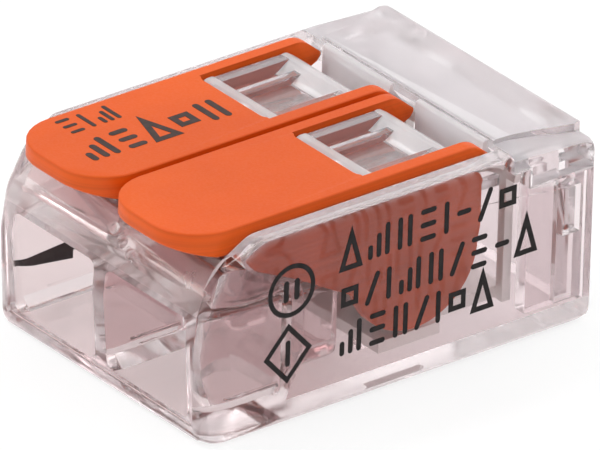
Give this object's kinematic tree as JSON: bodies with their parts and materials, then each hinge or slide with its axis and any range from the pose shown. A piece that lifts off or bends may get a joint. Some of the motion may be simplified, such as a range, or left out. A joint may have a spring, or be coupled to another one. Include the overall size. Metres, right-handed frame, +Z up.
{
  "type": "lever wire connector",
  "caption": "Compact splicing connector with a clear housing, side-by-side wire entries, and hinged levers that lift spring clamps off a common current bar.",
  "frame": {"origin": "centre of the flat underside, in the plane it rests on", "axes": "+X across the poles to the right seen from the wire entries, +Y from the wire entries to the rear cover, +Z up through the levers"},
  "size_m": [0.0132, 0.0186, 0.0083],
  "materials": {
    "clear_polycarbonate": "clear, glossy, faint warm grey tint",
    "tinned_copper": "satin tin plating on copper",
    "spring_steel": "bright rolled strip",
    "orange_polyamide": "fine matt moulded texture"
  },
  "bodies": {
    "base": {"housing": "clear_polycarbonate", "rear_cover": "clear_polycarbonate", "current_bar": "tinned_copper", "clamp_spring_left": "spring_steel", "clamp_spring_right": "spring_steel"},
    "lever_left": {"lever_left": "orange_polyamide"},
    "lever_right": {"lever_right": "orange_polyamide"},
    "clamp_leg_left": {"clamp_leg_left": "spring_steel"},
    "clamp_leg_right": {"clamp_leg_right": "spring_steel"}
  },
  "joints": [
    {"name": "lever_left_hinge", "type": "hinge", "parent": "base", "child": "lever_left", "pos_m": [-0.0028, 0.0014, 0.0046], "axis": [-1, 0, 0], "range_deg": [0, 90]},
    {"name": "lever_right_hinge", "type": "hinge", "parent": "base", "child": "lever_right", "pos_m": [0.0028, 0.0014, 0.0046], "axis": [-1, 0, 0], "range_deg": [0, 90]},
    {"name": "clamp_left_flex", "type": "hinge", "parent": "base", "child": "clamp_leg_left", "pos_m": [-0.0028, -0.0006, 0.0054], "axis": [1, 0, 0], "range_deg": [0, 35]},
    {"name": "clamp_right_flex", "type": "hinge", "parent": "base", "child": "clamp_leg_right", "pos_m": [0.0028, -0.0006, 0.0054], "axis": [1, 0, 0], "range_deg": [0, 35]}
  ],
  "couplings": [
    {"joint": "clamp_left_flex", "follows": "lever_left_hinge", "ratio": 0.38888},
    {"joint": "clamp_right_flex", "follows": "lever_right_hinge", "ratio": 0.38888}
  ]
}
